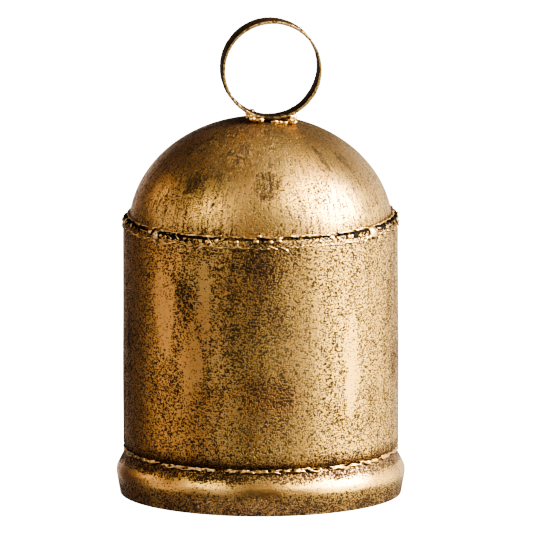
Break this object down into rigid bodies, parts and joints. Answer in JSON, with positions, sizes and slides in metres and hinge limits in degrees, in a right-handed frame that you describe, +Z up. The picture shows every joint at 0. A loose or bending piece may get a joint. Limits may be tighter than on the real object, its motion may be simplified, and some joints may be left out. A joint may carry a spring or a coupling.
{
  "type": "bell",
  "caption": "Round-topped sheet-metal bell with a rounded base rim, a band ring on its crown for hanging, and a ball clapper on a wire link inside.",
  "frame": {"origin": "centre of the circle that the base rim stands on", "axes": "+Z up along the bell's axis, -Y towards the front, where the ring on the crown faces"},
  "size_m": [0.1194, 0.1194, 0.1982],
  "materials": {
    "antique_gold": "antiqued brass: warm worn gold over dark brown patina, brushed and speckled, satin",
    "ring_band": "dark brown patina with bright gold along the sawn edges",
    "braze": "lumpy braze metal, bright on the high spots and nearly black in the hollows",
    "clapper_iron": "dark oiled iron"
  },
  "bodies": {
    "bell": {"dome_cap": "antique_gold", "body_tube": "antique_gold", "base_rim": "antique_gold", "shoulder_weld": "braze", "rim_weld": "braze", "body_seam_weld": "braze", "hanging_ring": "ring_band", "ring_weld_left": "braze", "ring_weld_right": "braze", "clapper_staple": "clapper_iron", "staple_weld_front": "braze", "staple_weld_back": "braze"},
    "link": {"clapper_link": "clapper_iron"},
    "clapper": {"clapper_rod": "clapper_iron", "clapper_ball": "clapper_iron"}
  },
  "joints": [
    {"name": "link_swing", "type": "hinge", "parent": "bell", "child": "link", "pos_m": [0, 0, 0.1485], "axis": [0, 1, 0], "range_deg": [-20.5, 20.5]},
    {"name": "rod_swing", "type": "hinge", "parent": "link", "child": "clapper", "pos_m": [0, 0, 0.13895], "axis": [1, 0, 0], "range_deg": [-5.5, 5.5]}
  ]
}
